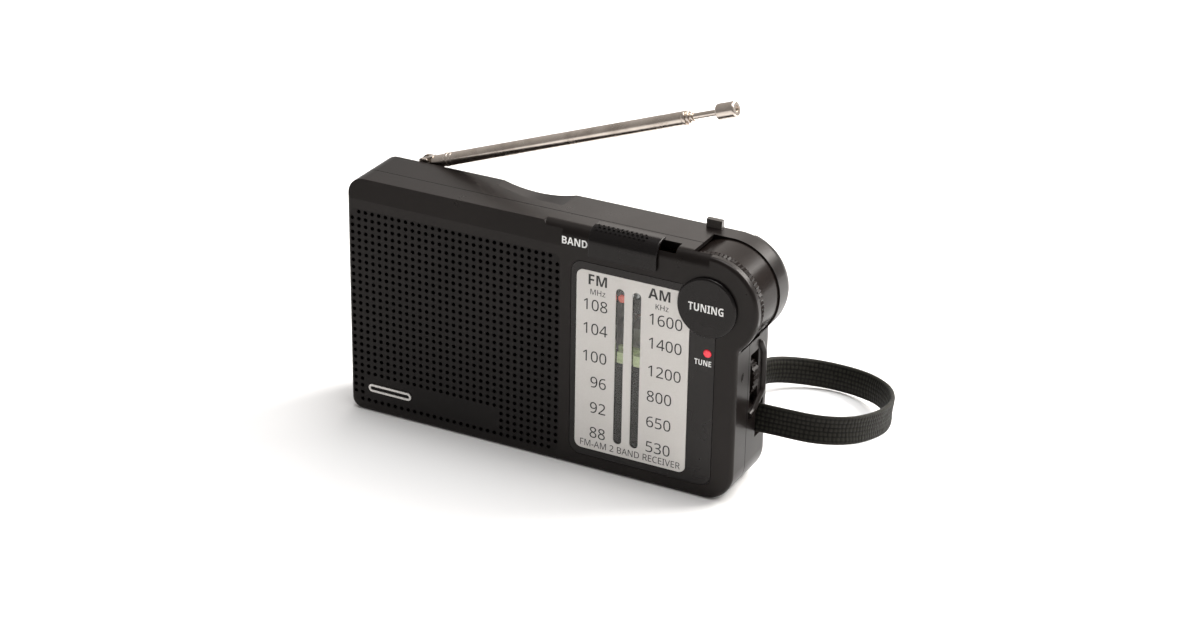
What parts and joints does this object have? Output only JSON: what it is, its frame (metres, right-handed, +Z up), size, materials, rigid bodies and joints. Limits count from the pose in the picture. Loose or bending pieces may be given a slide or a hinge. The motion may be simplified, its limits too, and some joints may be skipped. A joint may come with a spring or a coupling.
{
  "type": "pocket transistor radio",
  "caption": "Slim black pocket radio with a perforated speaker face, a silver two-band dial, a thumb tuning drum, a telescopic antenna and a wrist strap.",
  "frame": {"origin": "middle of the flat base, on the surface the radio stands on", "axes": "+X to the listener's right along the body, +Y to the back, +Z up"},
  "size_m": [0.136, 0.0737, 0.0988],
  "materials": {
    "cabinet": "moulded, gloss",
    "grille": "moulded, satin",
    "panel": "gloss, smoked",
    "scale_sheet": "satin printed foil",
    "clear": "clear strip",
    "black_knob": "moulded, gloss",
    "red": "red lens",
    "pointer_green": "fluorescent",
    "plated": "nickel plated",
    "screw_steel": "zinc plated",
    "white_plastic": "moulded",
    "board": "laminate",
    "dark_part": "moulded",
    "ferrite": "sintered",
    "copper": "enamelled wire",
    "paper": "pressed paper",
    "cloth": "woven cloth",
    "cell_wrap": "printed wrap",
    "webbing": "woven flat strap",
    "tinned": "tinned can"
  },
  "bodies": {
    "cabinet": {"front_cabinet": "cabinet", "rear_cabinet": "cabinet", "speaker_grille": "grille", "badge": "scale_sheet", "dial_panel": "panel", "dial_scale": "scale_sheet", "dial_windows": "clear", "tuning_cap": "black_knob", "tuning_lamp": "red", "tuning_capacitor": "white_plastic", "pointer_rail": "screw_steel", "cord_posts": "screw_steel", "dial_cord": "webbing", "band_switch": "tinned", "circuit_board": "board", "tuned_coils": "tinned", "capacitors": "dark_part", "radio_chip": "dark_part", "case_screws": "screw_steel", "board_screws": "screw_steel", "volume_control": "dark_part", "ferrite_rod": "ferrite", "ferrite_coil": "copper", "speaker_basket": "screw_steel", "speaker_magnet": "ferrite", "speaker_cone": "paper", "speaker_cloth": "cloth", "earphone_socket": "dark_part", "battery_box": "dark_part", "battery_cells": "cell_wrap", "battery_contacts": "plated", "antenna_clip": "cabinet", "wrist_strap": "webbing"},
    "tuning_wheel": {"tuning_wheel": "black_knob", "wheel_screw": "screw_steel", "tuning_shaft": "screw_steel"},
    "pointer": {"pointer_carriage": "pointer_green"},
    "band_knob": {"band_knob": "black_knob", "band_flag": "red", "switch_slider": "dark_part"},
    "volume_wheel": {"volume_wheel": "black_knob", "volume_screw": "screw_steel"},
    "antenna_base": {"antenna_base": "plated", "antenna_rivet": "screw_steel"},
    "antenna_arm": {"antenna_knuckle": "plated", "antenna_tube_1": "plated"},
    "antenna_second": {"antenna_tube_2": "plated"},
    "antenna_third": {"antenna_tube_3": "plated"},
    "antenna_tip": {"antenna_rod": "plated"},
    "battery_door": {"battery_door": "cabinet"}
  },
  "joints": [
    {"name": "tuning_turn", "type": "hinge", "parent": "cabinet", "child": "tuning_wheel", "pos_m": [0.0474, -0.008, 0.0529], "axis": [0, -1, 0], "range_deg": [-110, 66.3]},
    {"name": "pointer_travel", "type": "slide", "parent": "cabinet", "child": "pointer", "axis": [0, 0, 1], "range_m": [-0.0219, 0.0132]},
    {"name": "band_slide", "type": "slide", "parent": "cabinet", "child": "band_knob", "axis": [1, 0, 0], "range_m": [0, 0.00465]},
    {"name": "volume_turn", "type": "hinge", "parent": "cabinet", "child": "volume_wheel", "pos_m": [0.0484, 0, 0.0308], "axis": [0, -1, 0], "range_deg": [-40, 240]},
    {"name": "antenna_swivel", "type": "hinge", "parent": "cabinet", "child": "antenna_base", "pos_m": [-0.044, 0.0098, 0.0649], "axis": [0, 0, 1], "range_deg": [0, 180]},
    {"name": "antenna_tilt", "type": "hinge", "parent": "antenna_base", "child": "antenna_arm", "pos_m": [-0.044, 0.0098, 0.0649], "axis": [0, -1, 0], "range_deg": [-20.07, 69.93]},
    {"name": "second_section", "type": "slide", "parent": "antenna_arm", "child": "antenna_second", "axis": [0.9393, 0, 0.3432], "range_m": [0, 0.06]},
    {"name": "third_section", "type": "slide", "parent": "antenna_second", "child": "antenna_third", "axis": [0.9393, 0, 0.3432], "range_m": [0, 0.06]},
    {"name": "tip_section", "type": "slide", "parent": "antenna_third", "child": "antenna_tip", "axis": [0.9393, 0, 0.3432], "range_m": [-0.0062, 0.056]},
    {"name": "battery_door_hinge", "type": "hinge", "parent": "cabinet", "child": "battery_door", "pos_m": [0.01525, 0.01015, 0.00405], "axis": [-1, 0, 0], "range_deg": [0, 90]}
  ],
  "couplings": [
    {"joint": "pointer_travel", "follows": "tuning_turn", "m_per_rad": 0.0114}
  ]
}
